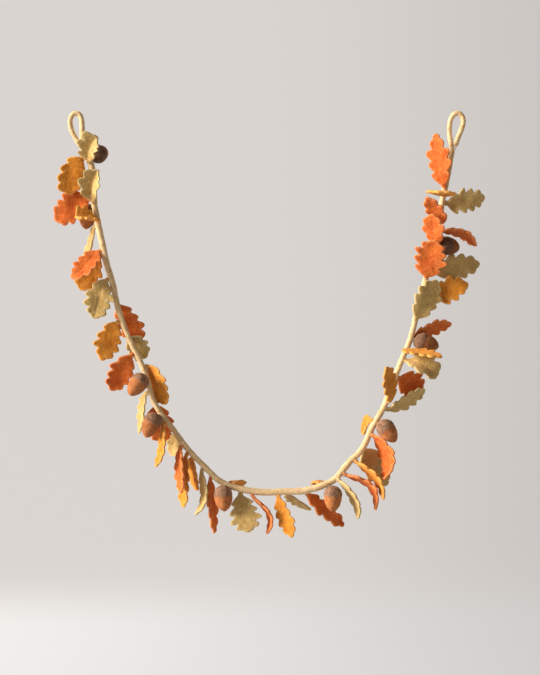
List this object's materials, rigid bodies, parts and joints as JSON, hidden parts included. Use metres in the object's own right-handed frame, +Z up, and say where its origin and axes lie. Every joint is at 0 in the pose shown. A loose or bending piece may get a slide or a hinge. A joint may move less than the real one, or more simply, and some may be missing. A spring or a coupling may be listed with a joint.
{
  "type": "felt acorn and oak leaf garland",
  "caption": "Hanging garland of felt oak leaves and felt acorns sewn along a felted cord, with a hanging loop at each end.",
  "frame": {"origin": "inside top of the left end loop, where it hangs on its hook or finger", "axes": "+Z up, +X from the left loop to the right loop, the viewer at -Y; Y is the shallow direction through the garland"},
  "size_m": [0.5664, 0.0942, 0.5574],
  "materials": {
    "cord": "sand-coloured felted wool cord, matt and slightly fluffy",
    "leaf_olive": "pale olive wool felt, mottled and matt",
    "leaf_mustard": "mustard wool felt, mottled and matt",
    "leaf_rust": "rust orange wool felt, mottled and matt",
    "acorn": "needle-felted brown wool, a darker cap over a warmer nut"
  },
  "bodies": {
    "root": {"acorn_1": "acorn", "acorn_2": "acorn", "acorn_3": "acorn", "acorn_4": "acorn", "acorn_5": "acorn", "acorn_6": "acorn", "acorn_7": "acorn", "acorn_8": "acorn", "acorn_9": "acorn", "cord": "cord", "leaf_01_mustard": "leaf_mustard", "leaf_02_olive": "leaf_olive", "leaf_03_olive": "leaf_olive", "leaf_04_rust": "leaf_rust", "leaf_05_mustard": "leaf_mustard", "leaf_06_olive": "leaf_olive", "leaf_07_rust": "leaf_rust", "leaf_08_mustard": "leaf_mustard", "leaf_09_olive": "leaf_olive", "leaf_10_rust": "leaf_rust", "leaf_11_mustard": "leaf_mustard", "leaf_12_olive": "leaf_olive", "leaf_13_rust": "leaf_rust", "leaf_14_mustard": "leaf_mustard", "leaf_15_olive": "leaf_olive", "leaf_16_rust": "leaf_rust", "leaf_17_mustard": "leaf_mustard", "leaf_18_olive": "leaf_olive", "leaf_19_rust": "leaf_rust", "leaf_20_mustard": "leaf_mustard", "leaf_21_olive": "leaf_olive", "leaf_22_rust": "leaf_rust", "leaf_23_olive": "leaf_olive", "leaf_24_rust": "leaf_rust", "leaf_25_mustard": "leaf_mustard", "leaf_26_olive": "leaf_olive", "leaf_27_rust": "leaf_rust", "leaf_28_olive": "leaf_olive", "leaf_29_rust": "leaf_rust", "leaf_30_mustard": "leaf_mustard", "leaf_31_olive": "leaf_olive", "leaf_32_rust": "leaf_rust", "leaf_33_olive": "leaf_olive", "leaf_34_mustard": "leaf_mustard", "leaf_35_rust": "leaf_rust", "leaf_36_olive": "leaf_olive", "leaf_37_mustard": "leaf_mustard", "leaf_38_rust": "leaf_rust", "leaf_39_olive": "leaf_olive", "leaf_40_mustard": "leaf_mustard", "leaf_41_olive": "leaf_olive", "leaf_42_rust": "leaf_rust", "leaf_43_rust": "leaf_rust", "leaf_44_rust": "leaf_rust", "leaf_45_rust": "leaf_rust", "leaf_46_olive": "leaf_olive", "leaf_47_mustard": "leaf_mustard", "leaf_48_rust": "leaf_rust", "loop_left": "cord", "loop_right": "cord"}
  },
  "joints": []
}
